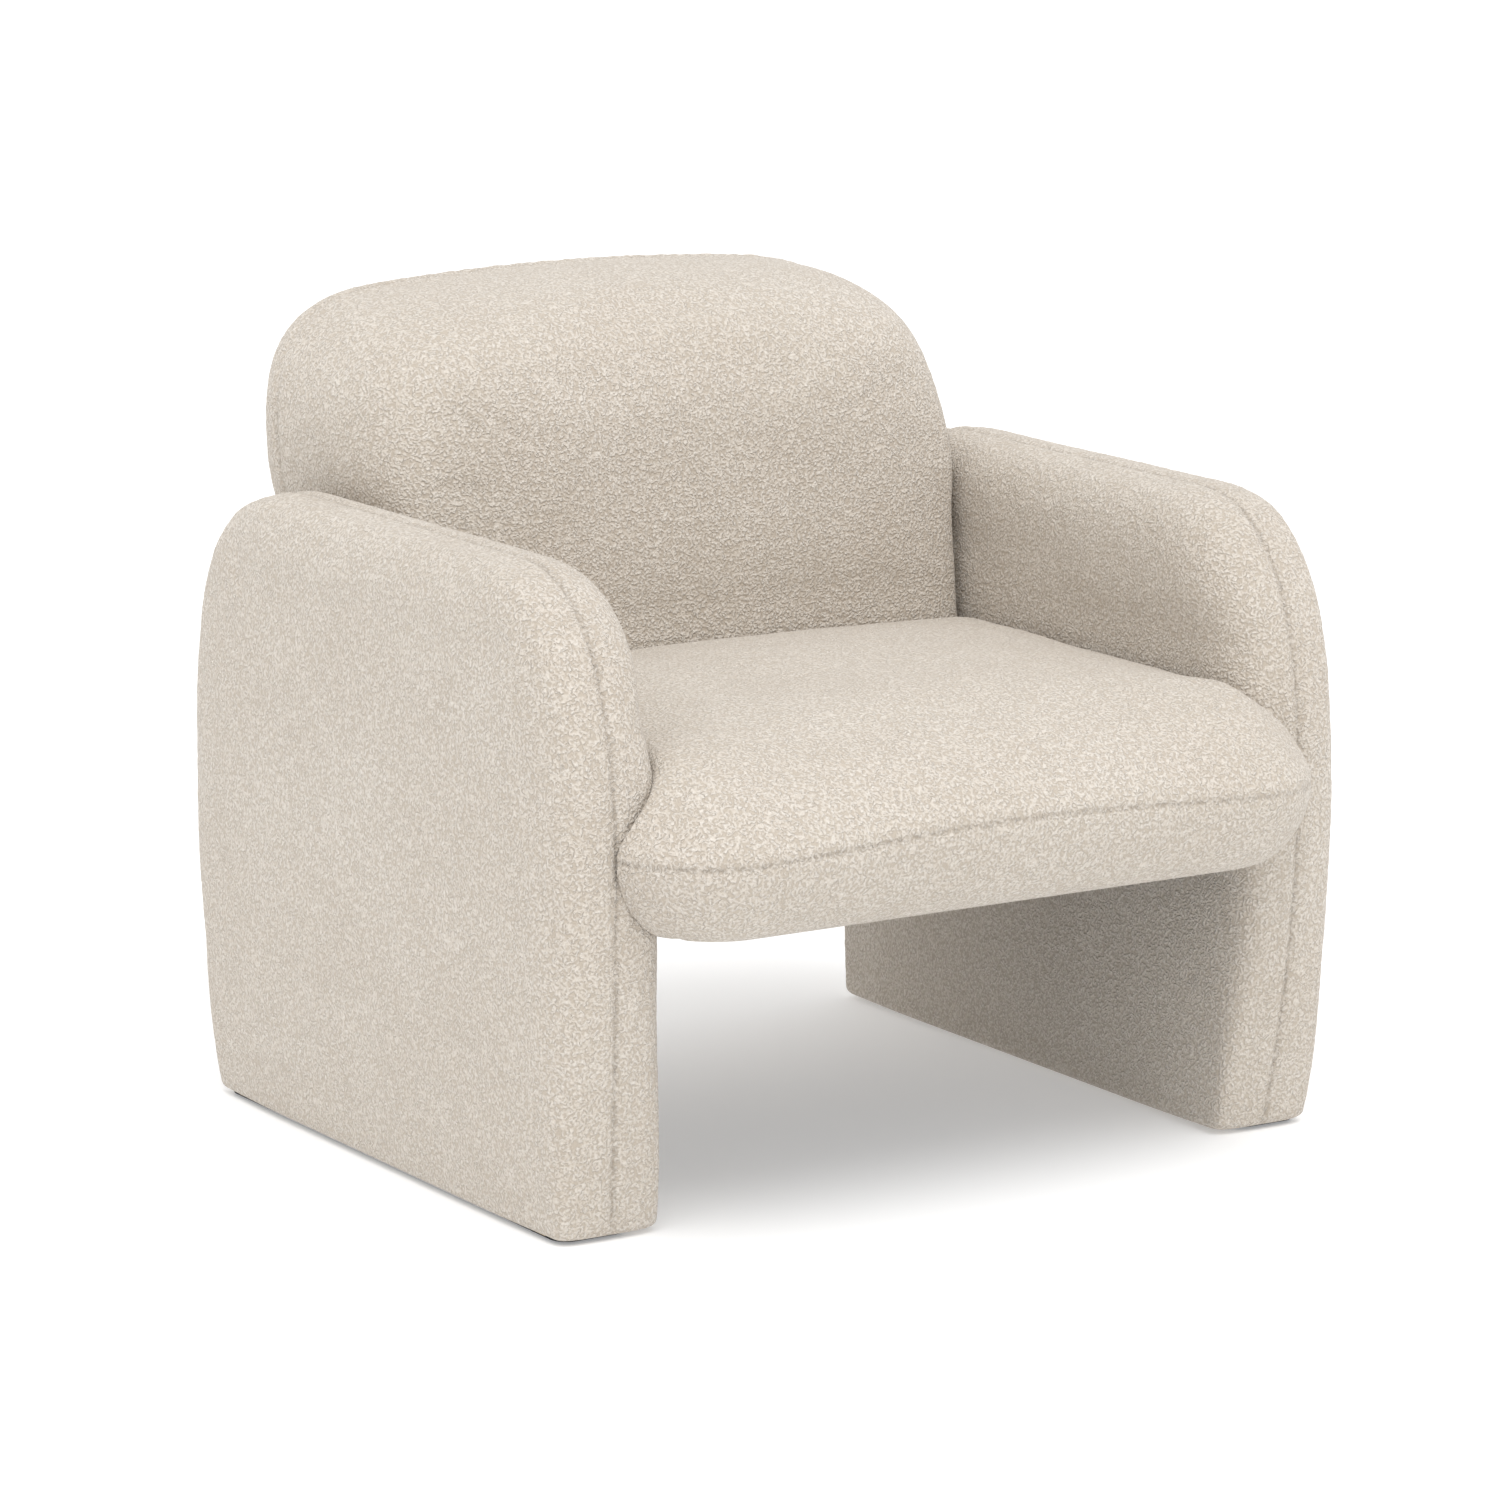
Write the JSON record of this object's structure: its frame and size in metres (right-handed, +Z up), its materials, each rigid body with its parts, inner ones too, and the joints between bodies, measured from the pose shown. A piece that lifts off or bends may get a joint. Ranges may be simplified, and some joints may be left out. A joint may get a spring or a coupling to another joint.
{
  "type": "upholstered armchair",
  "caption": "Low upholstered armchair: a bullnose sprung seat and a thick leaning back bolted between rounded slab arms that stand on the floor, all in looped fabric.",
  "frame": {"origin": "on the floor, under the middle of the chair's box", "axes": "+Z up; the chair faces -Y, its back is towards +Y; +X is the sitter's left"},
  "size_m": [0.8, 0.8, 0.721],
  "materials": {
    "boucle": "cream looped boucle, matt",
    "foam": "open-cell polyurethane foam",
    "wadding": "polyester wadding",
    "felt": "needled felt",
    "webbing": "woven elastic webbing",
    "black_cloth": "spunbond cloth, matt",
    "plywood": "raw birch plywood",
    "softwood": "planed pine",
    "hardwood": "sawn beech",
    "spring_steel": "oiled spring steel",
    "zinc_steel": "zinc plated",
    "glide_plastic": "moulded black plastic"
  },
  "bodies": {
    "root": {"back_bottom_rail": "softwood", "back_front_cover": "boucle", "back_front_foam": "foam", "back_left_stile": "softwood", "back_rear_cover": "boucle", "back_rear_foam": "foam", "back_right_stile": "softwood", "back_top_rail": "softwood", "back_webbing": "webbing", "bolt_washers": "zinc_steel", "frame_bolts": "zinc_steel", "glides": "glide_plastic", "left_arm_back_cleat": "hardwood", "left_arm_back_post": "softwood", "left_arm_bottom_cloth": "black_cloth", "left_arm_bottom_rail": "softwood", "left_arm_edge_foam": "foam", "left_arm_front_post": "softwood", "left_arm_inner_cover": "boucle", "left_arm_inner_foam": "foam", "left_arm_inner_ply": "plywood", "left_arm_middle_rail": "softwood", "left_arm_outer_cover": "boucle", "left_arm_outer_foam": "foam", "left_arm_outer_ply": "plywood", "left_arm_rear_post": "softwood", "left_arm_seat_cleat": "hardwood", "left_arm_top_rail": "softwood", "right_arm_back_cleat": "hardwood", "right_arm_back_post": "softwood", "right_arm_bottom_cloth": "black_cloth", "right_arm_bottom_rail": "softwood", "right_arm_edge_foam": "foam", "right_arm_front_post": "softwood", "right_arm_inner_cover": "boucle", "right_arm_inner_foam": "foam", "right_arm_inner_ply": "plywood", "right_arm_middle_rail": "softwood", "right_arm_outer_cover": "boucle", "right_arm_outer_foam": "foam", "right_arm_outer_ply": "plywood", "right_arm_rear_post": "softwood", "right_arm_seat_cleat": "hardwood", "right_arm_top_rail": "softwood", "seat_bottom_cover": "boucle", "seat_corner_blocks": "hardwood", "seat_dust_cloth": "black_cloth", "seat_foam": "foam", "seat_front_rail": "softwood", "seat_insulator": "felt", "seat_left_rail": "softwood", "seat_rear_rail": "softwood", "seat_right_rail": "softwood", "seat_spring_clips": "spring_steel", "seat_springs": "spring_steel", "seat_top_cover": "boucle", "seat_wadding": "wadding", "tee_nuts": "zinc_steel"}
  },
  "joints": []
}
